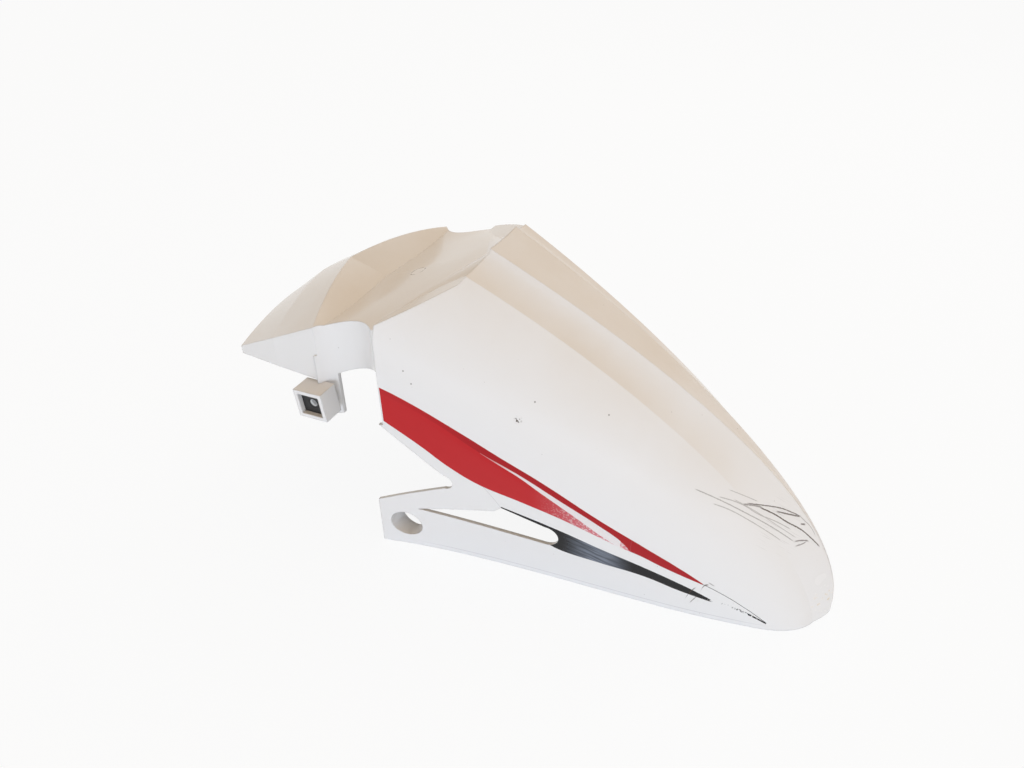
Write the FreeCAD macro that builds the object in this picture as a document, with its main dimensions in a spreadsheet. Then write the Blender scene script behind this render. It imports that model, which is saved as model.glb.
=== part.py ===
"""Front mudguard of a motor scooter: one moulded shell with its two clip nuts.

Forward is +X, the rider's left is +Y and up is +Z. The mudguard stands on the lower edges of
its side arms and nose. The origin is on that level, about half way between nose and tail.
"""
import FreeCAD
import Part
import Sketcher
import os

Vector = FreeCAD.Vector
Placement = FreeCAD.Placement
Rotation = FreeCAD.Rotation

# Sizes in millimetres and degrees, each written once and copied to the sheet under its name.
SIZES = {
    # moulding
    "wall": 2.6,
    "channel_ratio": 0.3,
    "channel_start": 0.28,
    "reach": 100.0,
    "hollow_below": 60.0,
    # rear outline of the hood, seen from the side
    "hood_back_x": -94.0,
    "hood_back_low_z": 127.0,
    "hood_back_top_z": 208.0,
    "hood_shoulder_x": -48.0,
    "hood_shoulder_z": 233.0,
    "hood_peak_x": -40.0,
    "hood_peak_z": 245.0,
    "deck_under_z": 190.0,
    # fork notch between flank and arm
    "notch_tip_x": -46.0,
    "notch_tip_z": 83.0,
    "notch_tip_radius": 7.0,
    "arm_end_x": -103.0,
    "arm_top_z": 47.0,
    # slot between gusset and lower blade
    "slot_rear_x": -71.0,
    "slot_rear_z": 44.5,
    "slot_bottom_z": 40.5,
    "slot_step_x": -7.0,
    "slot_step_z": 64.0,
    "slot_step_rise": 6.0,
    "slot_front_x": 33.0,
    "slot_front_z": 61.0,
    # recess for each fork leg
    "recess_x": -119.0,
    "recess_y": 112.0,
    "recess_radius": 33.0,
    # mounting boss in each arm
    "boss_x": -82.0,
    "boss_z": 24.0,
    "boss_bore": 26.0,
    "boss_rim": 3.0,
    "boss_end_y": 78.0,
    # nut box and the tab that carries it
    "box_x": -147.0,
    "box_z": 133.0,
    "box_width": 26.0,
    "box_height": 24.0,
    "box_face_y": 107.0,
    "box_depth": 17.0,
    "box_tilt": 6.0,
    "box_rim": 3.2,
    "pocket_depth": 6.0,
    "tab_front_x": -136.0,
    "tab_low_z": 114.0,
    "tab_top_z": 170.0,
    # clip nut
    "nut_clearance": 0.2,
    "nut_plate": 2.5,
    "nut_barrel": 10.0,
    "nut_length": 6.5,
    "nut_bore": 5.0,
    "nut_mouth": 8.6,
    "nut_mouth_depth": 1.8,
}

# Lines along the hood, each the four control points of a cubic curve from the rear to the nose.
# A point is forward, outward, up. The lowest points lie below the standing level, to be trimmed.
PLACES = ("rear", "aft", "fore", "nose")
HOOD_LINES = {
    "sill": ((-109, 99, -8), (-20, 68, -8), (123, 61, -8), (171, 47, -8)),
    "belt": ((-109, 97, 167), (0, 88, 115), (110, 66, 52), (203, 40, -8)),
    "flank": ((-109, 101, 218), (15, 86, 165), (172, 64, 98), (226, 33, -8)),
    "shoulder": ((-109, 52, 264), (18, 37, 217), (206, 25, 114), (232, 17, -8)),
    "crown": ((-109, 30, 270), (-7, 27, 218), (231, 10, 123), (237, 9, -8)),
    "ridge": ((-109, 21, 276), (-9, 23, 239), (250, -8, 121), (239, 3, -8)),
}

# Cross ribs of the tail and waist: lower edge, upper edge and middle, each forward, outward, up.
# The swell lifts the curve from edge to middle above the straight line.
REAR_RIBS = {
    "tail": ((-239, 78, 134), (-239, 78, 141), (-239, 0, 156), 4),
    "haunch": ((-192, 87, 142), (-192, 87, 168), (-210, 0, 180), 5),
    "crest": ((-145, 92, 147), (-145, 92, 194), (-179, 0, 199), 5),
    "valley": ((-139, 92, 150), (-139, 92, 195), (-146, 0, 190), -2),
    "deck": ((-97, 88, 168), (-97, 88, 204), (-54, 0, 231), 2),
    "peak": ((-40, 66, 168), (-40, 66, 200), (-40, 0, 243), 13),
}

doc = FreeCAD.newDocument("mudguard")
sheet = doc.addObject("Spreadsheet::Sheet", "Sizes")


def fill_sheet():
    """Writes every size to the sheet with its name as alias."""
    values = dict(SIZES)
    for line, points in HOOD_LINES.items():
        for place, point in zip(PLACES, points):
            for axis, value in zip("xyz", point):
                values["%s_%s_%s" % (line, place, axis)] = value
    for rib, (low, edge, middle, swell) in REAR_RIBS.items():
        for place, point in zip(("low", "edge", "middle"), (low, edge, middle)):
            for axis, value in zip("xyz", point):
                values["%s_%s_%s" % (rib, place, axis)] = value
        values["%s_swell" % rib] = swell
    for row, (name, value) in enumerate(values.items(), start=1):
        sheet.set("A%d" % row, name)
        sheet.set("B%d" % row, str(value))
        sheet.setAlias("B%d" % row, name)
    doc.recompute()


def size(name):
    """Value of a size in the sheet."""
    return float(sheet.get(name))


def spot(prefix):
    """Point whose three coordinates are in the sheet."""
    return Vector(size(prefix + "_x"), size(prefix + "_y"), size(prefix + "_z"))


def hood_line(line, step):
    """Point of a hood line at a step between 0 and 1, and the direction in which it runs."""
    rest = 1.0 - step
    a, b, c, d = (spot("%s_%s" % (line, place)) for place in PLACES)
    point = a * rest**3 + b * (3 * step * rest**2) + c * (3 * step**2 * rest) + d * step**3
    run = (b - a) * rest**2 + (c - b) * (2 * step * rest) + (d - c) * step**2
    return point, run.normalize()


def hood_points(step, inset):
    """Points of half a hood section from sill to middle, set inwards from the outer face.

    The ridge keeps its distance from the middle, so that the hollow under the channel stays open.
    """
    points, runs = zip(*(hood_line(line, step) for line in HOOD_LINES))
    ridge = points[-1]
    along = max(0.0, (step - size("channel_start")) / (1.0 - size("channel_start")))
    depth = size("channel_ratio") * ridge.y * 4 * along * (1.0 - along)
    lift = Vector(-runs[-1].z, 0, runs[-1].x)
    middle = Vector(ridge.x, 0, ridge.z) - lift * depth
    points += (middle,)
    runs += (runs[-1],)
    ends = (points[0],) + points + (mirrored(ridge),)
    result = []
    for i, (point, run) in enumerate(zip(points, runs)):
        across = ends[i + 2] - ends[i]
        moved = point - across.cross(run).normalize() * inset
        if step == 0.0:
            moved.x = point.x
        if step == 1.0 or i == 0:
            moved.z = point.z
        if point.y <= ridge.y:
            moved.y = point.y
        result.append(moved)
    return result


def mirrored(point):
    """The same point on the other side of the middle plane."""
    return Vector(point.x, -point.y, point.z)


def bend(start, corner, end):
    """Edge that leaves start towards corner and reaches end from corner."""
    return curve([start, corner, end])


def closed_rib(half):
    """Closed wire from half a section, given as start, corner and end of each edge."""
    right = [bend(*edge) for edge in half]
    left = [bend(mirrored(c), mirrored(b), mirrored(a)) for a, b, c in reversed(half)]
    foot = half[0][0]
    return Part.Wire(right + left + [Part.makeLine(mirrored(foot), foot)])


def through(a, b, c, d):
    """Control points of the cubic curve through four points at even steps."""
    return [a, (b * 18 - a * 5 - c * 9 + d * 2) / 6, (a * 2 - b * 9 + c * 18 - d * 5) / 6, d]


def patch(rows):
    """Curved face with its control points in rows that run from the rear to the nose."""
    surface = Part.BezierSurface()
    surface.increase(len(rows) - 1, len(rows[0]) - 1)
    for i, row in enumerate(rows, start=1):
        for j, point in enumerate(row, start=1):
            surface.setPole(i, j, point)
    return surface.toShape()


def curve(points):
    """Edge with the given control points."""
    line = Part.BezierCurve()
    line.setPoles(points)
    return line.toShape()


def rear_points(name, inset, below):
    """Points of half a tail or waist section: lower edge, upper edge, curve corner and middle."""
    low = spot(name + "_low") + Vector(0, -inset, -below)
    edge = spot(name + "_edge") + Vector(0, -inset, -inset)
    middle = spot(name + "_middle") + Vector(0, 0, -inset)
    corner = (edge + middle) * 0.5 + Vector(0, 0, 2 * size(name + "_swell"))
    return [low, edge, corner, middle]


def carried_on(point, before, distance):
    """Point moved rearwards by a distance along the line on which it lies."""
    return point + (point - before) * (distance / (before.x - point.x))


def rear_rib(points):
    """Closed wire of one tail or waist section."""
    low, edge, corner, middle = points
    return closed_rib([(low, (low + edge) * 0.5, edge), (edge, corner, middle)])


def loft(name, wires):
    """Solid through a row of closed wires, creased at each of them."""
    sections = []
    for i, wire in enumerate(wires):
        section = doc.addObject("Part::Feature", "%s_rib_%d" % (name, i))
        section.Shape = wire
        sections.append(section)
    form = doc.addObject("Part::Loft", name)
    form.Sections = sections
    form.Solid = True
    form.Ruled = True
    return form


def hood_form(name, inset):
    """Solid of the hood, set inwards from its outer face, closed at the rear and below."""
    sections = [hood_points(step, inset) for step in (0.0, 1 / 3, 2 / 3, 1.0)]
    sill, belt, flank, shoulder, crown, ridge, middle = (through(*line) for line in zip(*sections))
    side = [(a + b) * 0.5 for a, b in zip(sill, belt)]
    dip = [Vector(low.x, high.y * 0.5, low.z) for low, high in zip(middle, ridge)]
    right = [(sill, side, belt), (belt, flank, shoulder), (shoulder, crown, ridge), (ridge, dip, middle)]
    left = [[[mirrored(point) for point in row] for row in rows] for rows in right]
    faces = [patch(rows) for rows in right + left]
    faces.append(Part.Face(closed_rib([[row[0] for row in rows] for rows in right])))
    nose = [bend(*(row[-1] for row in rows)) for rows in right + left]
    foot = Part.makeLine(mirrored(sill[0]), sill[0])
    below = [curve(sill), curve(left[0][0]), foot] + nose
    faces.append(Part.Face(Part.Wire(Part.sortEdges(below)[0])))
    skin = Part.makeShell(faces)
    skin.sewShape()
    form = doc.addObject("Part::Feature", name)
    form.Shape = Part.Solid(skin)
    return form


def rear_form(name, inset, below, behind):
    """Solid of the tail and waist, creased at each rib and carried on behind the tail."""
    rows = [rear_points(rib, inset, below) for rib in REAR_RIBS]
    rows[0] = [carried_on(point, before, behind) for point, before in zip(rows[0], rows[1])]
    return loft(name, [rear_rib(row) for row in rows])


def total(names):
    """Sum of sizes, where a name with a minus sign is taken away."""
    return sum(-size(name[1:]) if name[0] == "-" else size(name) for name in names.split())


def formula(names):
    """The same sum as an expression on the sheet."""
    terms = ("-Sizes." + name[1:] if name[0] == "-" else "+Sizes." + name for name in names.split())
    return "0 " + " ".join(terms)


def side_prism(name, outline):
    """Prism right across the mudguard, its side outline given as sums of sizes for each corner."""
    sketch = doc.addObject("Sketcher::SketchObject", name + "_outline")
    sketch.Placement = Placement(Vector(), Rotation(Vector(1, 0, 0), 90))
    corners = [Vector(total(x), total(z), 0) for x, z in outline]
    count = len(outline)
    for i in range(count):
        sketch.addGeometry(Part.LineSegment(corners[i], corners[(i + 1) % count]), False)
    for i in range(count):
        sketch.addConstraint(Sketcher.Constraint("Coincident", i, 2, (i + 1) % count, 1))
    for i, (x, z) in enumerate(outline):
        for kind, names, value in (("DistanceX", x, corners[i].x), ("DistanceY", z, corners[i].y)):
            place = sketch.addConstraint(Sketcher.Constraint(kind, -1, 1, i, 1, value))
            sketch.setExpression("Constraints[%d]" % place, formula(names))
    prism = doc.addObject("Part::Extrusion", name)
    prism.Base = sketch
    prism.DirMode = "Custom"
    prism.Dir = Vector(0, 1, 0)
    prism.setExpression("LengthFwd", "Sizes.reach * 4")
    prism.Symmetric = True
    prism.Solid = True
    return prism


def bar(name, radius, height, base, axis):
    """Round bar along an axis, with its radius, height and base as sums of sizes."""
    shape = doc.addObject("Part::Cylinder", name)
    shape.setExpression("Radius", radius)
    shape.setExpression("Height", height)
    shape.Placement = Placement(Vector(), Rotation(Vector(0, 0, 1), axis))
    for axis_name, expression in zip("xyz", base):
        shape.setExpression("Placement.Base." + axis_name, expression)
    return shape


def block(name, length, width, height, corner):
    """Block with its sides and its lowest corner as expressions."""
    shape = doc.addObject("Part::Box", name)
    shape.setExpression("Length", length)
    shape.setExpression("Width", width)
    shape.setExpression("Height", height)
    for axis_name, expression in zip("xyz", corner):
        shape.setExpression("Placement.Base." + axis_name, expression)
    return shape


def cut(name, base, tool):
    """Base with the tool taken away."""
    result = doc.addObject("Part::Cut", name)
    result.Base = base
    result.Tool = tool
    return result


def common(name, base, tool):
    """What base and tool share."""
    result = doc.addObject("Part::Common", name)
    result.Base = base
    result.Tool = tool
    return result


def fuse(name, shapes):
    """All shapes joined into one."""
    result = doc.addObject("Part::MultiFuse", name)
    result.Shapes = shapes
    return result


SIDES = {"left": 1, "right": -1}
ALONG_Y = Vector(0, 1, 0)
UP = Vector(0, 0, 1)


def both_sides(name, make):
    """The same piece made on the left and on the right, joined."""
    return fuse(name, [make("%s_%s" % (name, side), sign) for side, sign in SIDES.items()])


def recess(name, sign, extra):
    """Upright bar that clears a fork leg."""
    base = ("Sizes.recess_x", "%d * Sizes.recess_y" % sign, "Sizes.hood_back_low_z")
    return bar(name, "Sizes.recess_radius" + extra, "Sizes.reach * 2", base, UP)


def outer_body():
    """Everything inside the mudguard's outer face, as a solid."""
    hood = hood_form("outer_hood", 0.0)
    top = "hood_peak_z reach"
    behind = side_prism("behind_hood", [
        ("hood_peak_x", top),
        ("hood_peak_x", "hood_peak_z"),
        ("hood_shoulder_x", "hood_shoulder_z"),
        ("hood_back_x", "hood_back_top_z"),
        ("hood_back_x", "hood_back_low_z"),
        ("notch_tip_x", "notch_tip_z notch_tip_radius"),
        ("notch_tip_x", "notch_tip_z -notch_tip_radius"),
        ("arm_end_x", "arm_top_z"),
        ("arm_end_x", "-reach"),
        ("arm_end_x -reach", "-reach"),
        ("arm_end_x -reach", top),
    ])
    tip_base = ("Sizes.notch_tip_x", "-2 * Sizes.reach", "Sizes.notch_tip_z")
    tip = bar("notch_tip", "Sizes.notch_tip_radius", "4 * Sizes.reach", tip_base, ALONG_Y)
    hood = cut("hood_to_outline", hood, fuse("hood_outline_tool", [behind, tip]))
    body = fuse("outer_whole", [hood, rear_form("outer_rear", 0.0, 0.0, 0.0)])
    recesses = both_sides("recess", lambda name, sign: recess(name, sign, ""))
    return cut("outer_body", body, recesses)


def inner_body():
    """Everything inside the mudguard's inner face, as a solid."""
    hood = hood_form("inner_hood", size("wall"))
    top = "hood_peak_z reach"
    behind = side_prism("behind_hollow", [
        ("hood_peak_x wall", top),
        ("hood_peak_x wall", "hood_peak_z -wall"),
        ("hood_shoulder_x wall", "hood_shoulder_z -wall"),
        ("hood_back_x wall", "hood_back_top_z -wall"),
        ("hood_back_x wall", "deck_under_z"),
        ("arm_end_x -reach", "deck_under_z"),
        ("arm_end_x -reach", top),
    ])
    hood = cut("hollow_to_outline", hood, behind)
    rear = rear_form("inner_rear", size("wall"), size("hollow_below"), size("wall") * 4)
    body = fuse("inner_whole", [hood, rear])
    walls = both_sides("recess_wall", lambda name, sign: recess(name, sign, " + Sizes.wall"))
    return cut("inner_body", body, walls)


def slot_tool():
    """Prism that cuts the slot between gusset and lower blade."""
    prism = side_prism("slot", [
        ("slot_rear_x", "slot_rear_z"),
        ("slot_step_x", "slot_step_z"),
        ("slot_step_x slot_step_rise", "slot_step_z slot_step_rise"),
        ("slot_front_x", "slot_front_z"),
        ("slot_front_x", "slot_bottom_z"),
    ])
    middle = "(Sizes.slot_front_z + Sizes.slot_bottom_z) / 2"
    radius = "(Sizes.slot_front_z - Sizes.slot_bottom_z) / 2"
    base = ("Sizes.slot_front_x", "-2 * Sizes.reach", middle)
    return fuse("slot_tool", [prism, bar("slot_end", radius, "4 * Sizes.reach", base, ALONG_Y)])


def boss_tube(body):
    """Bosses in both arms, flush with the outer face, reaching inwards."""
    base = ("Sizes.boss_x", "-2 * Sizes.reach", "Sizes.boss_z")
    tube = bar("boss_bar", "Sizes.boss_bore / 2 + Sizes.boss_rim", "4 * Sizes.reach", base, ALONG_Y)
    rim = common("boss_in_body", tube, body)
    corner = ("Sizes.boss_x - Sizes.reach", "-Sizes.boss_end_y", "-Sizes.reach")
    between = block("boss_gap", "2 * Sizes.reach", "2 * Sizes.boss_end_y", "4 * Sizes.reach", corner)
    return cut("boss", rim, between)


def boss_bore():
    """Bore through both bosses."""
    base = ("Sizes.boss_x", "-2 * Sizes.reach", "Sizes.boss_z")
    return bar("boss_bore_tool", "Sizes.boss_bore / 2", "4 * Sizes.reach", base, ALONG_Y)


def ground():
    """Block that trims everything below the standing level."""
    corner = ("-3 * Sizes.reach", "-2 * Sizes.reach", "-Sizes.reach")
    return block("ground", "6 * Sizes.reach", "4 * Sizes.reach", "Sizes.reach", corner)


def tab(name, sign):
    """Tab that carries a nut box: the fork recess wall carried on downwards."""
    base = ("Sizes.recess_x", "%d * Sizes.recess_y" % sign, "Sizes.tab_low_z")
    height = "Sizes.tab_top_z - Sizes.tab_low_z"
    ring_out = bar(name + "_out", "Sizes.recess_radius + Sizes.wall", height, base, UP)
    ring_in = bar(name + "_in", "Sizes.recess_radius", height, base, UP)
    ring = cut(name + "_ring", ring_out, ring_in)
    near = "%d * (Sizes.box_face_y - Sizes.box_depth) - Sizes.box_depth" % sign
    length = "Sizes.tab_front_x - Sizes.box_x"
    corner = ("Sizes.box_x", near, "Sizes.tab_low_z")
    window = block(name + "_window", length, "Sizes.box_depth * 2", height, corner)
    return common(name + "_part", ring, window)


def box_block(name, sign, inset, start, depth):
    """Block in line with a nut box, inset from its sides, from a start below its face inwards."""
    half_x = "(Sizes.box_width / 2 - %s)" % inset
    half_z = "(Sizes.box_height / 2 - %s)" % inset
    low = "-Sizes.box_face_y + %s" % start
    if sign > 0:
        low = "Sizes.box_face_y - %s - %s" % (start, depth)
    turn = "Sizes.box_tilt"
    corner = (
        "Sizes.box_x - %s * cos(%s) + %s * sin(%s)" % (half_x, turn, half_z, turn),
        low,
        "Sizes.box_z - %s * sin(%s) - %s * cos(%s)" % (half_x, turn, half_z, turn),
    )
    shape = block(name, "2 * " + half_x, depth, "2 * " + half_z, corner)
    shape.Placement.Rotation = Rotation(Vector(0, -1, 0), size("box_tilt"))
    return shape


def box_bar(name, sign, radius, start, depth):
    """Round bar on the axis of a nut box, from a start below its face inwards."""
    low = "-Sizes.box_face_y + %s" % start
    if sign > 0:
        low = "Sizes.box_face_y - %s - %s" % (start, depth)
    return bar(name, radius, depth, ("Sizes.box_x", low, "Sizes.box_z"), ALONG_Y)


def nut_box(name, sign):
    """Nut box on the outside of a tab."""
    return box_block(name, sign, "0", "0", "Sizes.box_depth")


def nut_space(name, sign):
    """Room for a clip nut: a pocket for its plate and a hole for its barrel."""
    pocket = box_block(name + "_pocket", sign, "Sizes.box_rim", "0", "Sizes.pocket_depth")
    radius = "Sizes.nut_barrel / 2 + Sizes.nut_clearance"
    hole = box_bar(name + "_hole", sign, radius, "0", "2 * Sizes.box_depth")
    return fuse(name + "_room", [pocket, hole])


def clip_nut(name, sign):
    """Clip nut: a plate on the pocket floor and a threaded barrel behind it."""
    plate_start = "(Sizes.pocket_depth - Sizes.nut_plate)"
    inset = "(Sizes.box_rim + Sizes.nut_clearance)"
    plate = box_block(name + "_plate", sign, inset, plate_start, "Sizes.nut_plate")
    length = "Sizes.nut_length"
    barrel = box_bar(name + "_barrel", sign, "Sizes.nut_barrel / 2", "Sizes.pocket_depth", length)
    blank = fuse(name + "_blank", [plate, barrel])
    bore = box_bar(name + "_bore", sign, "Sizes.nut_bore / 2", "0", "2 * Sizes.box_depth")
    mouth = doc.addObject("Part::Cone", name + "_mouth")
    wide, narrow = ("Radius1", "Radius2") if sign < 0 else ("Radius2", "Radius1")
    mouth.setExpression(wide, "Sizes.nut_mouth / 2")
    mouth.setExpression(narrow, "Sizes.nut_bore / 2")
    mouth.setExpression("Height", "Sizes.nut_mouth_depth")
    mouth.Placement = Placement(Vector(), Rotation(UP, ALONG_Y))
    low = "-Sizes.box_face_y + %s" % plate_start
    if sign > 0:
        low = "Sizes.box_face_y - %s - Sizes.nut_mouth_depth" % plate_start
    for axis_name, expression in zip("xyz", ("Sizes.box_x", low, "Sizes.box_z")):
        mouth.setExpression("Placement.Base." + axis_name, expression)
    return cut(name, blank, fuse(name + "_hole", [bore, mouth]))


def mudguard():
    """The whole moulding."""
    outer = outer_body()
    shell = cut("shell", outer, inner_body())
    open_shell = cut("open_shell", shell, slot_tool())
    boxes = both_sides("nut_box", nut_box)
    tabs = both_sides("tab", tab)
    solid = fuse("moulding", [open_shell, boss_tube(outer), tabs, boxes])
    tools = fuse("tools", [ground(), boss_bore(), both_sides("nut_space", nut_space)])
    return cut("mudguard", solid, tools)


def check(objects):
    """Stops the build where an object failed or a shape is not a sound solid."""
    for item in doc.Objects:
        if "Invalid" in item.State or "Error" in item.State:
            raise RuntimeError("%s did not build" % item.Label)
    for item in objects:
        if item.Shape.isNull() or not item.Shape.isValid() or len(item.Shape.Solids) != 1:
            raise RuntimeError("%s is not one sound solid" % item.Label)


fill_sheet()
pieces = [mudguard()]
for side, sign in SIDES.items():
    pieces.append(clip_nut("clip_nut_" + side, sign))
doc.recompute()
check(pieces)
os.makedirs("parts", exist_ok=True)
for piece in pieces:
    piece.Shape.exportStep("parts/%s.step" % piece.Label)
    box = piece.Shape.BoundBox
    print(piece.Label, round(piece.Shape.Volume), box)
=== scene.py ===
"""Looks of a scooter's front mudguard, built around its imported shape."""

import logging
import math
from dataclasses import dataclass, field
from enum import Enum
from typing import Union

import bpy
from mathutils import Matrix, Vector


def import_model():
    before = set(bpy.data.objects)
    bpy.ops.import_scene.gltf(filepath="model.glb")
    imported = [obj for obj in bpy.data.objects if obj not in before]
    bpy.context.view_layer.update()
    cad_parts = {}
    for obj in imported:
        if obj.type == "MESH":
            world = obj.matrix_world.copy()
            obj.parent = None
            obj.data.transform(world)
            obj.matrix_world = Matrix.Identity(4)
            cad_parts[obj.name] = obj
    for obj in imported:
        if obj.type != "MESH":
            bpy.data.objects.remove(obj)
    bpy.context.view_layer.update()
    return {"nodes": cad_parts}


log = logging.getLogger("mudguard")

Colour = tuple[float, float, float]
Point = tuple[float, float]
Place = tuple[float, float, float]
Line = tuple[Point, ...]


class Node(Enum):
    """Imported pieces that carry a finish."""

    SHELL = "mudguard"
    NUT_RIGHT = "clip_nut_right"
    NUT_LEFT = "clip_nut_left"


def tint(red: int, green: int, blue: int) -> Colour:
    """Turns screen colour steps (0 to 255) into linear colour."""
    steps = (red, green, blue)
    return tuple(((step / 255 + 0.055) / 1.055) ** 2.4 if step > 10 else step / 3295 for step in steps)


class Wire:
    """An output socket that can be used in arithmetic."""

    def __init__(self, graph: "Graph", socket: bpy.types.NodeSocket) -> None:
        """Keeps the graph and the socket."""
        self.graph = graph
        self.socket = socket

    def math(self, operation: str, first: "Value", second: "Value" = 0.0, clamp: bool = False) -> "Wire":
        """Adds one Math node.

        Args:
            operation: The node's operation.
            first: First input.
            second: Second input.
            clamp: Whether the result is held between 0 and 1.

        Returns:
            The node's result.
        """
        settings = {"operation": operation, "use_clamp": clamp}
        return self.graph.add("ShaderNodeMath", settings, {0: first, 1: second})

    def __add__(self, other: "Value") -> "Wire":
        """Adds two values."""
        return self.math("ADD", self, other)

    def __sub__(self, other: "Value") -> "Wire":
        """Takes the other value from this one."""
        return self.math("SUBTRACT", self, other)

    def __rsub__(self, other: "Value") -> "Wire":
        """Takes this value from the other one."""
        return self.math("SUBTRACT", other, self)

    def __mul__(self, other: "Value") -> "Wire":
        """Multiplies two values."""
        return self.math("MULTIPLY", self, other)

    def __truediv__(self, other: "Value") -> "Wire":
        """Divides this value by the other one."""
        return self.math("DIVIDE", self, other)

    def size(self) -> "Wire":
        """Gives the value without its sign."""
        return self.math("ABSOLUTE", self)

    def side(self) -> "Wire":
        """Gives the value's sign."""
        return self.math("SIGN", self)

    def wave(self) -> "Wire":
        """Gives the value's sine."""
        return self.math("SINE", self)

    def most(self, other: "Value") -> "Wire":
        """Gives the larger of two values."""
        return self.math("MAXIMUM", self, other)

    def rise(self, start: float, end: float) -> "Wire":
        """Goes smoothly from 0 at start to 1 at end, which may lie below start.

        Args:
            start: Value that gives 0.
            end: Value that gives 1.

        Returns:
            The eased share.
        """
        settings = {"interpolation_type": "SMOOTHSTEP"}
        if end > start:
            return self.graph.add("ShaderNodeMapRange", settings, {0: self, 1: start, 2: end, 3: 0.0, 4: 1.0})
        return self.graph.add("ShaderNodeMapRange", settings, {0: self, 1: end, 2: start, 3: 1.0, 4: 0.0})

    def within(self, low: float, high: float, soft: float) -> "Wire":
        """Gives 1 between two values and fades to 0 outside them."""
        return self.rise(low - soft, low + soft) * self.rise(high + soft, high - soft)


Value = Union[Wire, float, tuple]
Spot = tuple[Wire, Wire]


class Graph:
    """The node tree of one material or world."""

    def __init__(self, owner: Union[bpy.types.Material, bpy.types.World]) -> None:
        """Clears the owner's nodes."""
        owner.use_nodes = True
        self.tree = owner.node_tree
        self.tree.nodes.clear()

    def add(self, kind: str, settings: dict, inputs: dict, output: Union[int, str] = 0) -> Wire:
        """Adds a node of any type.

        Args:
            kind: Node type.
            settings: Properties, which are set before the inputs.
            inputs: Wires or plain values by socket name or number.
            output: Socket that is returned.

        Returns:
            The chosen output.
        """
        node = self.tree.nodes.new(kind)
        for name, value in settings.items():
            setattr(node, name, value)
        for key, value in inputs.items():
            if isinstance(value, Wire):
                self.tree.links.new(value.socket, node.inputs[key])
            else:
                node.inputs[key].default_value = value
        return Wire(self, node.outputs[output] if len(node.outputs) else None)

    def place(self) -> Wire:
        """Gives the point in the part's own frame, in metres."""
        return self.add("ShaderNodeTexCoord", {}, {}, "Object")

    def facing(self) -> Wire:
        """Gives the direction in which the surface faces."""
        return self.add("ShaderNodeTexCoord", {}, {}, "Normal")

    def split(self, vector: Wire) -> list[Wire]:
        """Splits a vector into its three values."""
        return [self.add("ShaderNodeSeparateXYZ", {}, {0: vector}, step) for step in range(3)]

    def join(self, x: Value, y: Value, z: Value) -> Wire:
        """Joins three values to a vector."""
        return self.add("ShaderNodeCombineXYZ", {}, {0: x, 1: y, 2: z})

    def along(self, vector: Wire, direction: Place) -> Wire:
        """Measures a vector along a direction."""
        settings = {"operation": "DOT_PRODUCT"}
        return self.add("ShaderNodeVectorMath", settings, {0: vector, 1: direction}, "Value")

    def away(self, vector: Wire, point: Place) -> Wire:
        """Measures the distance to a point."""
        settings = {"operation": "DISTANCE"}
        return self.add("ShaderNodeVectorMath", settings, {0: vector, 1: point}, "Value")

    def stretched(self, vector: Wire, grain: Place, turn: Place) -> Wire:
        """Measures a point in turned, drawn-out grains.

        Args:
            vector: Point.
            grain: Length of one grain along each axis.
            turn: Turn of the grain about each axis.

        Returns:
            The point, counted in grains.
        """
        inputs = {"Vector": vector, "Rotation": turn, "Scale": grain}
        return self.add("ShaderNodeMapping", {"vector_type": "TEXTURE"}, inputs)

    def backdrop(self) -> Wire:
        """Gives 1 where the camera sees a surface, also in metal and glass."""
        kinds = ("Camera", "Glossy", "Transmission")
        camera, glossy, through = (self.add("ShaderNodeLightPath", {}, {}, f"Is {kind} Ray") for kind in kinds)
        return camera + glossy + through

    def noise(self, vector: Wire, scale: float, detail: float = 3.0) -> Wire:
        """Gives soft random values between 0 and 1."""
        return self.add("ShaderNodeTexNoise", {}, {"Vector": vector, "Scale": scale, "Detail": detail})

    def spots(self, vector: Wire, scale: float) -> Wire:
        """Gives the distance to scattered points, in cells."""
        return self.add("ShaderNodeTexVoronoi", {}, {"Vector": vector, "Scale": scale}, "Distance")

    def blend(self, share: Value, first: Value, second: Value) -> Wire:
        """Mixes two colours.

        Args:
            share: Share of the second colour.
            first: Colour, as a wire or linear values.
            second: Colour, as a wire or linear values.

        Returns:
            The mixed colour.
        """
        colours = [value if isinstance(value, Wire) else (*value, 1.0) for value in (first, second)]
        return self.add("ShaderNodeMix", {"data_type": "RGBA"}, {0: share, 6: colours[0], 7: colours[1]}, 2)

    def line(self, along: Wire, points: Line) -> Wire:
        """Gives the height of a drawn line over a distance.

        Args:
            along: Distance.
            points: Distance and height of each point, by rising distance.

        Returns:
            The height.
        """
        start, end = points[0][0], points[-1][0]
        low = min(height for _, height in points)
        span = max(height for _, height in points) - low + 0.0001
        wire = self.add("ShaderNodeFloatCurve", {}, {"Value": (along - start) / (end - start)})
        mapping = wire.socket.node.mapping
        curve = mapping.curves[0]
        for index, (step, height) in enumerate(points):
            spot = ((step - start) / (end - start), (height - low) / span)
            if index in (0, len(points) - 1):
                curve.points[0 if index == 0 else -1].location = spot
            else:
                curve.points.new(*spot)
        mapping.update()
        return wire * span + low

    def bump(self, height: Wire, depth: float, rounding: float) -> Wire:
        """Turns a height into a surface direction with softened edges.

        Args:
            height: Height between 0 and 1.
            depth: Length of a height of 1.
            rounding: Radius that edges seem to have.

        Returns:
            The surface direction.
        """
        soft = self.add("ShaderNodeBevel", {"samples": 4}, {"Radius": rounding})
        inputs = {"Strength": 1.0, "Distance": depth, "Height": height, "Normal": soft}
        return self.add("ShaderNodeBump", {}, inputs)

    def gloss(self, inputs: dict) -> None:
        """Adds the surface shader and joins it to the output."""
        shader = self.add("ShaderNodeBsdfPrincipled", {}, inputs)
        self.add("ShaderNodeOutputMaterial", {}, {"Surface": shader})


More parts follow.
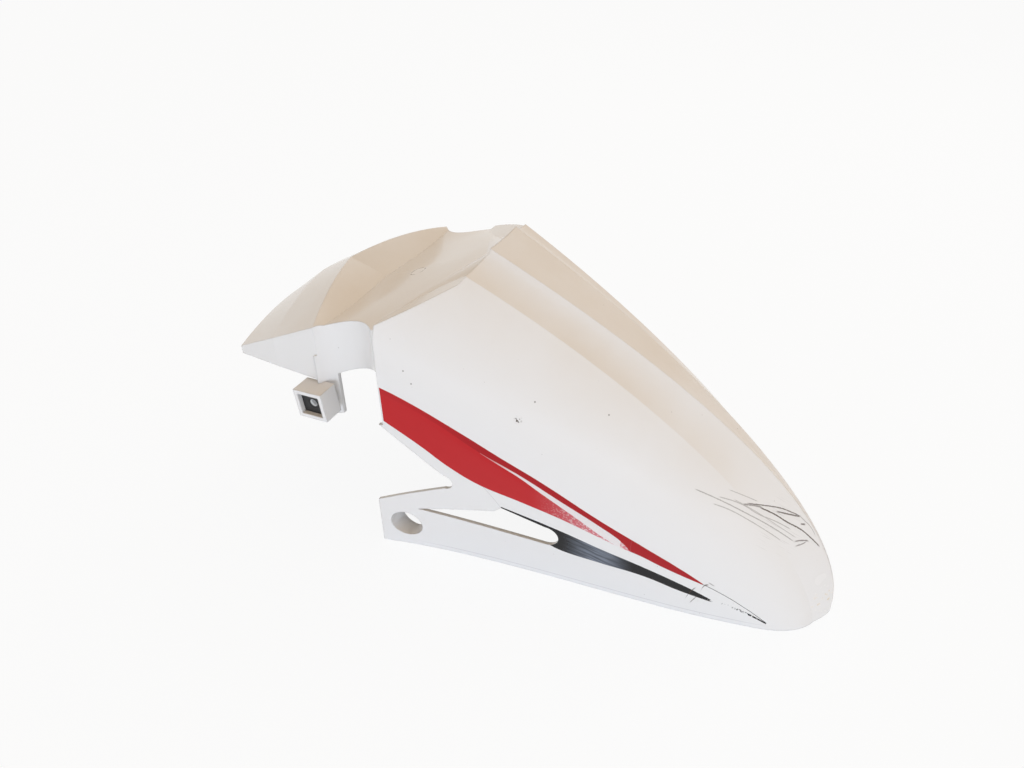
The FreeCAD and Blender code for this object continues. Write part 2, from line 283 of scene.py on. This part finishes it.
@dataclass(frozen=True)
class Sheet:
    """A flat sheet held over the nose, on which the damage is drawn."""

    across: Place = (0.889, 0.4579, 0.0)
    upward: Place = (-0.2756, 0.535, 0.7986)
    outward: Place = (0.3657, -0.71, 0.6018)

    def spot(self, graph: Graph, point: Wire) -> Spot:
        """Gives the point's place on the sheet, across and upward."""
        return graph.along(point, self.across), graph.along(point, self.upward)

    def faced(self, graph: Graph, facing: Wire) -> Wire:
        """Gives 1 on faces that look at the sheet."""
        return graph.along(facing, self.outward).rise(0.05, 0.25)


@dataclass(frozen=True)
class Scratch:
    """One scratch on the sheet.

    Attributes:
        points: Places that it passes, across and upward.
        width: Half width in metres.
        depth: Share of the paint that it takes away.
    """

    points: Line
    width: float
    depth: float

    def mask(self, graph: Graph, spot: Spot, rough: Wire) -> Wire:
        """Gives 1 in the scratch and 0 elsewhere."""
        across, upward = spot
        gap = (upward - graph.line(across, self.points)).size()
        start, end = self.points[0][0], self.points[-1][0]
        inside = across.within(start, end, min(0.0015, (end - start) * 0.25))
        return (gap / self.width + rough * 1.6).rise(1.4, 0.6) * inside * self.depth


@dataclass(frozen=True)
class Damage:
    """Scratches, scuffs and chips of the paint."""

    sheet: Sheet = field(default_factory=Sheet)
    scratches: tuple[Scratch, ...] = (
        Scratch(((0.1442, 0.0193), (0.1551, 0.0142), (0.1646, 0.0084), (0.1752, 0.0028), (0.1836, -0.0036),
                 (0.1917, -0.0109)), 0.0005, 0.9),
        Scratch(((0.1343, 0.0229), (0.1473, 0.0209), (0.1588, 0.0187), (0.1667, 0.0158), (0.1747, 0.0122)),
                0.0004, 0.8),
        Scratch(((0.1747, 0.0122), (0.178, 0.0091), (0.1831, 0.0045), (0.1877, -0.0024)), 0.0004, 0.45),
        Scratch(((0.1306, 0.0224), (0.1412, 0.0208), (0.1458, 0.0189)), 0.0006, 0.6),
        Scratch(((0.1566, 0.0163), (0.1652, 0.0141), (0.1747, 0.0118)), 0.0005, 0.8),
        Scratch(((0.0965, 0.0336), (0.1137, 0.0259), (0.1322, 0.0166), (0.1516, 0.0061), (0.1701, -0.0057)),
                0.0004, 0.5),
        Scratch(((0.1136, 0.028), (0.1283, 0.0231), (0.1436, 0.0144), (0.1553, 0.0095), (0.1672, 0.0032)),
                0.00035, 0.45),
        Scratch(((0.1096, 0.0232), (0.1212, 0.0187), (0.1324, 0.0127), (0.1478, 0.0035), (0.1599, -0.0044)),
                0.00035, 0.45),
        Scratch(((0.1208, 0.0327), (0.132, 0.0282), (0.1411, 0.0243)), 0.0003, 0.4),
        Scratch(((0.1246, 0.0257), (0.1397, 0.0174), (0.1554, 0.0074), (0.1715, -0.0029)), 0.0003, 0.4),
        Scratch(((0.1718, -0.0062), (0.1773, -0.0058), (0.1822, -0.0065)), 0.0005, 0.7),
        Scratch(((0.1728, -0.0096), (0.1775, -0.0084), (0.1806, -0.0071)), 0.0005, 0.6),
        Scratch(((0.1758, 0.0064), (0.179, 0.0058)), 0.0006, 0.8),
        Scratch(((0.0997, -0.0524), (0.1015, -0.0472), (0.104, -0.0431)), 0.0007, 0.8),
        Scratch(((0.1033, -0.0568), (0.1063, -0.0514)), 0.0007, 0.7),
        Scratch(((0.1082, -0.0473), (0.1091, -0.0415), (0.1121, -0.0394)), 0.0007, 0.7),
        Scratch(((0.1124, -0.0376), (0.1162, -0.0399)), 0.0005, 0.5),
    )
    hairs: Place = (0.190, -0.015, 0.084)
    hairs_reach: float = 0.030
    scuff: Place = (0.2325, -0.009, 0.0175)
    scuff_reach: float = 0.015
    chip: Place = (0.0102, -0.0754, 0.1559)
    chip_reach: float = 0.0036
    specks: tuple[Place, ...] = ((-0.0646, -0.091, 0.1711), (-0.0707, -0.0904, 0.1798),
                                 (0.0187, -0.0669, 0.1686), (0.0655, -0.049, 0.1618))
    speck_size: float = 0.0008

    def worn(self, graph: Graph, point: Wire, facing: Wire) -> Wire:
        """Gives the share of bare, dirty ground that shows through the paint."""
        spot = self.sheet.spot(graph, point)
        rough = graph.noise(point, 900.0) - 0.5
        result = self.scratches[0].mask(graph, spot, rough)
        for scratch in self.scratches[1:]:
            result = result.most(scratch.mask(graph, spot, rough))
        grain = graph.stretched(graph.join(*spot, 0.0), (0.02, 0.0005, 1.0), (0.0, 0.0, -0.5))
        fine = graph.noise(grain, 1.0, 2.0).rise(0.6, 0.72)
        near = graph.away(point, self.hairs).rise(self.hairs_reach, 0.3 * self.hairs_reach)
        result = result.most(fine * near * 0.3) * self.sheet.faced(graph, facing)
        grit = graph.noise(point, 700.0, 4.0)
        result = result.most(graph.away(point, self.chip).rise(self.chip_reach, 0.0008) * grit.rise(0.46, 0.58))
        for speck in self.specks:
            gap = graph.away(point, speck) + rough * 0.0006
            result = result.most(gap.rise(self.speck_size, 0.0003) * 0.7)
        return result

    def scuffed(self, graph: Graph, point: Wire) -> Wire:
        """Gives the share of yellowed scuffs at the tip."""
        near = graph.away(point, self.scuff).rise(self.scuff_reach, 0.3 * self.scuff_reach)
        return near * graph.noise(point, 300.0, 5.0).rise(0.53, 0.72)


@dataclass(frozen=True)
class Film:
    """Films as laid over the paint.

    Attributes:
        colour: Colour of paint and films together, with painted shade, highlight and sheen.
        rubbed_and_sheen: Share that is worn dull and given a painted sheen.
        share: Share that is film.
    """

    colour: Wire
    rubbed_and_sheen: Wire
    share: Wire


@dataclass(frozen=True)
class Stripes:
    """Coloured films on both flanks, with painted shade and highlight lines, drawn by distance forward and
    height.
    """

    red_top: Line = ((-0.0895, 0.1625), (-0.0733, 0.1577), (-0.0288, 0.1386), (0.0006, 0.1239),
                     (0.0298, 0.1095), (0.0738, 0.084), (0.1032, 0.068), (0.1329, 0.0512),
                     (0.1503, 0.0398))
    shaded_band_low: Line = ((-0.0895, 0.1578), (-0.05, 0.1435), (-0.0142, 0.1243), (0.0152, 0.1111),
                      (0.0446, 0.0948), (0.0742, 0.0779), (0.0891, 0.0677), (0.097, 0.058))
    highlight_low: Line = ((-0.0142, 0.1238), (0.0005, 0.1163), (0.0152, 0.1086), (0.03, 0.0987),
                      (0.0448, 0.0891), (0.0596, 0.0792), (0.0746, 0.0685), (0.0895, 0.0595))
    red_low: Line = ((-0.0895, 0.1315), (-0.0619, 0.1155), (-0.0393, 0.1003), (-0.0164, 0.0896),
                     (0.0145, 0.0829), (0.0448, 0.0756), (0.0747, 0.0656), (0.0895, 0.0604),
                     (0.1042, 0.0561), (0.119, 0.0499), (0.1503, 0.0387))
    dark_top: Line = ((-0.001, 0.0715), (0.0447, 0.0614), (0.0751, 0.0524), (0.1051, 0.0443),
                      (0.1348, 0.0341), (0.1498, 0.0276), (0.162, 0.0212))
    dark_low: Line = ((-0.001, 0.068), (0.006, 0.050), (0.03, 0.0445), (0.0446, 0.038),
                      (0.0756, 0.0352), (0.1058, 0.0332), (0.1357, 0.0256), (0.162, 0.0202))
    tip_top: Line = ((0.157, 0.0275), (0.172, 0.0212), (0.1793, 0.0185), (0.1989, 0.0075))
    tip_low: Line = ((0.157, 0.0225), (0.172, 0.0187), (0.1793, 0.0163), (0.1989, 0.0062))
    pin_line: Line = ((0.1503, 0.0392), (0.1629, 0.0332), (0.1782, 0.0237), (0.1987, 0.0076))
    gusset_line: Line = ((-0.0141, 0.0888), (-0.0075, 0.0801), (-0.0009, 0.0701))
    lip_height: float = 0.0048
    edge: float = 0.0002
    pin_width: float = 0.0004
    shaded_band_red: Colour = tint(166, 16, 26)
    red: Colour = tint(188, 26, 33)
    pink_fade_and_reflection: Colour = tint(220, 150, 160)
    black: Colour = tint(11, 11, 15)
    sheen: Colour = tint(128, 136, 150)
    shade: Colour = tint(120, 120, 128)

    def between(self, graph: Graph, spot: Spot, low: Line, top: Line) -> Wire:
        """Gives 1 between two drawn lines.

        Args:
            graph: Graph that gets the nodes.
            spot: Distance forward and height.
            low: Lower line, which sets the ends.
            top: Upper line.

        Returns:
            The share.
        """
        x, z = spot
        under = (graph.line(x, top) - z).rise(-self.edge, self.edge)
        over = (z - graph.line(x, low)).rise(-self.edge, self.edge)
        return under * over * x.within(low[0][0], low[-1][0], self.edge)

    def drawn(self, graph: Graph, spot: Spot, points: Line) -> Wire:
        """Gives 1 on a thin drawn line."""
        x, z = spot
        gap = (z - graph.line(x, points)).size()
        return gap.rise(self.pin_width, 0.4 * self.pin_width) * x.within(points[0][0], points[-1][0], 0.0005)

    def apply(self, graph: Graph, spot: Spot, flank: Wire, ground: Wire, white: Colour, grit: Wire) -> Film:
        """Lays the films over the paint, with painted shade, highlight and sheen.

        Args:
            graph: Graph that gets the nodes.
            spot: Distance forward and height.
            flank: Share of the flank.
            ground: Colour of the paint below.
            white: Colour of the white paint, used for chips and for the painted highlight line.
            grit: Fine random values.

        Returns:
            The laid films.
        """
        x, z = spot
        red = self.between(graph, spot, self.red_low, self.red_top) * flank
        # The darker red band along the top of the red is painted shade of the facet above the crease, fainter
        # towards the back.
        shaded_band = self.between(graph, spot, self.shaded_band_low, self.red_top).most(x.rise(0.0965, 0.0972))
        # A white line along the crease inside the red is a painted highlight.
        line = self.between(graph, spot, self.highlight_low, self.shaded_band_low) * x.rise(-0.03, 0.02)
        # Forward, the lower red turns pink: partly faded, scuffed film and partly painted reflection.
        lower = graph.blend(x.rise(0.02, 0.088) * 0.7, self.red, self.pink_fade_and_reflection)
        lower = graph.blend(grit.rise(0.5, 0.62) * x.rise(0.025, 0.08) * 0.7, lower, white)
        reds = graph.blend(shaded_band * (x.rise(-0.07, -0.01) * 0.7 + 0.3), lower, self.shaded_band_red)
        reds = graph.blend(line * 0.9, reds, white)
        colour = graph.blend(red, ground, reds)
        ragged = (x + (grit - 0.5) * 0.012).rise(0.160, 0.156)
        dark = self.between(graph, spot, self.dark_low, self.dark_top) * ragged
        speckled = (x + (grit - 0.5) * 0.09).rise(0.172, 0.184)
        dark = dark.most(self.between(graph, spot, self.tip_low, self.tip_top) * speckled)
        dark = dark.most(self.drawn(graph, spot, self.pin_line)) * flank
        colour = graph.blend(dark, colour, self.black)
        flat = graph.stretched(graph.join(x, 0.0, z), (0.02, 1.0, 0.0022), (0.0, 0.31, 0.0))
        grain = graph.noise(flat, 1.0, 4.0)
        # Grey streaks on the black film: partly worn, dulled film and partly painted sheen.
        rubbed_and_sheen = dark * x.within(0.058, 0.088, 0.014) * (grain.rise(0.3, 0.65) * 0.6 + 0.3)
        colour = graph.blend(rubbed_and_sheen, colour, self.sheen)
        lip = (z - self.lip_height).size().rise(0.0005, 0.0001) * x.within(-0.06, 0.19, 0.02) * 0.3
        crease = self.drawn(graph, spot, self.gusset_line) * 0.45
        colour = graph.blend(lip.most(crease) * flank, colour, self.shade)
        return Film(colour, rubbed_and_sheen, red.most(dark))


@dataclass(frozen=True)
class Paint:
    """Glossy white paint with films, wear and a dusting over a matt inside, and painted shade, highlight and
    sheen.
    """

    white: Colour = tint(232, 231, 231)
    dust_and_top_shade: Colour = tint(214, 198, 176)
    ground: Colour = tint(72, 56, 44)
    scuff: Colour = tint(196, 172, 128)
    inside: Colour = tint(218, 218, 216)
    grime_and_ring_shade: Colour = tint(134, 125, 112)
    mark: Place = (-0.1116, -0.0045, 0.0)
    mark_radius: float = 0.0056
    edge_radius: float = 0.0012
    damage: Damage = field(default_factory=Damage)
    stripes: Stripes = field(default_factory=Stripes)

    def outside(self, graph: Graph, point: Wire, facing: Wire) -> Wire:
        """Gives 1 on faces that don't look at the wheel."""
        x, y, z = graph.split(point)
        out_x, out_y, out_z = graph.split(facing)
        sideways = (out_y * y.side()).rise(-0.1, -0.3) * out_z.rise(0.25, 0.05) * out_x.rise(0.5, 0.3)
        downward = out_z.rise(-0.3, -0.5) * z.rise(0.10, 0.12) * y.size().rise(0.078, 0.070)
        backward = out_x.rise(-0.3, -0.5) * x.rise(0.14, 0.16)
        return 1.0 - sideways.most(downward).most(backward)

    def moulded_mark(self, graph: Graph, point: Wire, facing: Wire) -> Wire:
        """Gives 1 on the round moulding mark of the deck."""
        x, y, _ = graph.split(point)
        ring = (graph.away(graph.join(x, y, 0.0), self.mark) - self.mark_radius).size().rise(0.0008, 0.0003)
        upward = graph.split(facing)[2].rise(0.5, 0.6)
        return ring * upward * graph.noise(point, 260.0).rise(0.42, 0.58)

    def material(self) -> bpy.types.Material:
        """Builds the finish of the shell."""
        material = bpy.data.materials.new("white_paint")
        graph = Graph(material)
        point = graph.place()
        facing = graph.facing()
        x, y, z = graph.split(point)
        outside = self.outside(graph, point, facing)
        flank = graph.split(facing)[1].size().rise(0.25, 0.4) * outside * y.size().rise(0.03, 0.04)
        cloud = graph.noise(point, 14.0)
        grit = graph.noise(point, 600.0, 4.0)
        worn = self.damage.worn(graph, point, facing) * outside
        scuffed = self.damage.scuffed(graph, point) * outside
        mark = self.moulded_mark(graph, point, facing) * outside
        upward = graph.split(facing)[2]
        # Upward faces turn tan: partly a real dusting, partly painted warm shade of the tops.
        dusty_and_top_shaded = upward.rise(0.3, 0.95) * (cloud.rise(0.25, 0.75) * 0.3 + 0.15)
        colour = graph.blend(dusty_and_top_shaded, self.white, self.dust_and_top_shade)
        flecks = (graph.spots(point, 75.0) + grit * 0.06).rise(0.065, 0.045) * 0.35
        colour = graph.blend(flecks, colour, self.ground)
        # The moulding mark's ring is darkened: painted shade of its sunken edge.
        colour = graph.blend(mark * 0.7, colour, self.grime_and_ring_shade)
        film = self.stripes.apply(graph, (x, z), flank, colour, self.white, grit)
        colour = graph.blend(scuffed * 0.7, film.colour, self.scuff)
        colour = graph.blend(worn, colour, self.ground)
        bare = graph.blend(graph.noise(point, 30.0, 5.0).rise(0.4, 0.75) * 0.35, self.inside, self.grime_and_ring_shade)
        colour = graph.blend(outside, bare, colour)
        matt = (1.0 - outside).most(worn).most(scuffed)
        ripple = graph.noise(point, 260.0, 1.0) * 0.4 + grit * 0.15 - worn * 0.8 - mark * 0.8
        graph.gloss({
            "Base Color": colour,
            "Roughness": cloud * 0.10 + 0.20 + matt * 0.34 + film.rubbed_and_sheen * 0.15,
            "Coat Weight": (1.0 - matt) * (1.0 - film.share) * 0.5,
            "Coat Roughness": 0.08,
            "IOR": 1.3,
            "Normal": graph.bump(ripple, 0.00006, self.edge_radius),
        })
        return material


@dataclass(frozen=True)
class NutFinish:
    """Black coated spring steel with a bright threaded hole."""

    black: Colour = tint(30, 30, 32)
    worn_black: Colour = tint(70, 68, 66)
    steel: Colour = tint(226, 228, 230)
    axis: Point = (-0.147, 0.133)
    thread_radius: float = 0.0034
    pitch: float = 0.0008
    edge_radius: float = 0.0003

    def material(self) -> bpy.types.Material:
        """Builds the finish of the clip nuts."""
        material = bpy.data.materials.new("clip_steel")
        graph = Graph(material)
        point = graph.place()
        x, y, z = graph.split(point)
        centre = (self.axis[0], 0.0, self.axis[1])
        thread = graph.away(graph.join(x, 0.0, z), centre).rise(self.thread_radius, self.thread_radius - 0.0004)
        patch = graph.noise(point, 500.0, 4.0)
        colour = graph.blend(patch.rise(0.55, 0.75) * 0.6, self.black, self.worn_black)
        colour = graph.blend(thread, colour, self.steel)
        turns = (y * (2 * math.pi / self.pitch)).wave() * 0.5 + 0.5
        graph.gloss({
            "Base Color": colour,
            "Metallic": thread * 0.5,
            "Roughness": patch * 0.2 + 0.42 - thread * 0.18,
            "Normal": graph.bump(turns * thread + patch * 0.1, 0.0002, self.edge_radius),
        })
        return material


@dataclass
class Shell:
    """The moulded mudguard."""

    finish: Paint = field(default_factory=Paint)

    def dress(self, nodes: dict[str, bpy.types.Object]) -> None:
        """Gives the shell its paint."""
        wear(nodes[Node.SHELL.value], self.finish.material())


@dataclass
class Nuts:
    """The two clip nuts in the tab boxes."""

    finish: NutFinish = field(default_factory=NutFinish)

    def dress(self, nodes: dict[str, bpy.types.Object]) -> None:
        """Gives both nuts their finish."""
        material = self.finish.material()
        for node in (Node.NUT_RIGHT, Node.NUT_LEFT):
            wear(nodes[node.value], material)


def wear(piece: bpy.types.Object, material: bpy.types.Material) -> None:
    """Puts one material on a piece."""
    piece.data.materials.clear()
    piece.data.materials.append(material)
    log.info("%s wears %s", piece.name, material.name)


@dataclass(frozen=True)
class Panel:
    """One soft light panel."""

    name: str
    place: Place
    size: Point
    watts: float
    colour: Colour

    def hang(self, target: Place) -> None:
        """Hangs the panel and aims it at a place."""
        lamp = bpy.data.lights.new(self.name, "AREA")
        lamp.shape = "RECTANGLE"
        lamp.size, lamp.size_y = self.size
        lamp.energy = self.watts
        lamp.color = self.colour
        holder = bpy.data.objects.new(self.name, lamp)
        holder.location = self.place
        holder.visible_glossy = False
        aim = Vector(target) - Vector(self.place)
        holder.rotation_euler = aim.to_track_quat("-Z", "Y").to_euler()
        bpy.context.scene.collection.objects.link(holder)
        log.info("%s hangs", self.name)


@dataclass
class Studio:
    """Floor, light and camera."""

    floor_side: float = 60.0
    floor_shade: float = 0.1
    floor_colour: Colour = tint(232, 242, 254)
    sky_high: Colour = (1.04, 0.85, 0.63)
    sky_middle: Colour = (0.48, 0.42, 0.37)
    sky_low: Colour = (0.84, 0.95, 1.12)
    sky_behind: Colour = (0.40, 0.37, 0.34)
    target: Place = (0.0, 0.0, 0.10)
    panels: tuple[Panel, ...] = (
        Panel("front_panel", (0.2, -1.6, 0.08), (1.8, 0.4), 14.0, (0.78, 0.88, 1.0)),
        Panel("nose_panel", (1.5, -0.8, 0.12), (0.8, 0.4), 3.0, (0.90, 0.95, 1.0)),
        Panel("back_panel", (0.4, 1.2, 1.3), (0.8, 0.8), 4.0, (1.0, 0.88, 0.74)),
    )
    eye: Place = (0.191, -0.4353, 0.490)
    turn: float = 27.25
    tilt: float = 37.0
    lens: float = 27.035

    def build_floor(self) -> None:
        """Lays the pale floor, which keeps the shadow."""
        mesh = bpy.data.meshes.new("floor")
        half = self.floor_side / 2
        corners = [(-half, -half, 0), (half, -half, 0), (half, half, 0), (-half, half, 0)]
        mesh.from_pydata(corners, [], [(0, 1, 2, 3)])
        floor = bpy.data.objects.new("floor", mesh)
        bpy.context.scene.collection.objects.link(floor)
        material = bpy.data.materials.new("floor")
        graph = Graph(material)
        shade = graph.add("ShaderNodeBsdfDiffuse", {}, {"Color": (*self.floor_colour, 1.0)})
        glow = graph.add("ShaderNodeEmission", {}, {"Color": (1.0, 1.0, 1.0, 1.0), "Strength": 1.0})
        share = graph.backdrop() * (1.0 - self.floor_shade)
        mixed = graph.add("ShaderNodeMixShader", {}, {0: share, 1: shade, 2: glow})
        graph.add("ShaderNodeOutputMaterial", {}, {"Surface": mixed})
        floor.data.materials.append(material)

    def build_sky(self) -> None:
        """Surrounds the part with soft light on a white background."""
        world = bpy.data.worlds.new("studio")
        bpy.context.scene.world = world
        graph = Graph(world)
        forward, _, height = graph.split(graph.add("ShaderNodeTexCoord", {}, {}, "Generated"))
        light = graph.blend(height.rise(0.1, 0.4), self.sky_low, self.sky_middle)
        light = graph.blend(height.rise(0.45, 0.9), light, self.sky_high)
        light = graph.blend(forward.rise(0.0, -0.7), light, self.sky_behind)
        colour = graph.blend(graph.backdrop(), light, (1.0, 1.0, 1.0))
        sky = graph.add("ShaderNodeBackground", {}, {"Color": colour, "Strength": 1.0})
        graph.add("ShaderNodeOutputWorld", {}, {"Surface": sky})

    def build_camera(self) -> None:
        """Sets the camera where the picture was taken from."""
        camera = bpy.data.cameras.new("camera")
        camera.lens = self.lens
        camera.sensor_width = 36.0
        camera.clip_start = 0.01
        holder = bpy.data.objects.new("camera", camera)
        holder.location = self.eye
        holder.rotation_euler = (math.radians(90.0 - self.tilt), 0.0, math.radians(self.turn))
        bpy.context.scene.collection.objects.link(holder)
        bpy.context.scene.camera = holder

    def build(self) -> None:
        """Builds the whole studio."""
        self.build_floor()
        self.build_sky()
        for panel in self.panels:
            panel.hang(self.target)
        self.build_camera()
        bpy.context.scene.view_settings.view_transform = "Standard"
        log.info("studio is built")


def main() -> None:
    """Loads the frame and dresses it."""
    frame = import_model()
    Shell().dress(frame["nodes"])
    Nuts().dress(frame["nodes"])
    Studio().build()


if __name__ == "__main__":
    logging.basicConfig(level=logging.INFO)
    main()
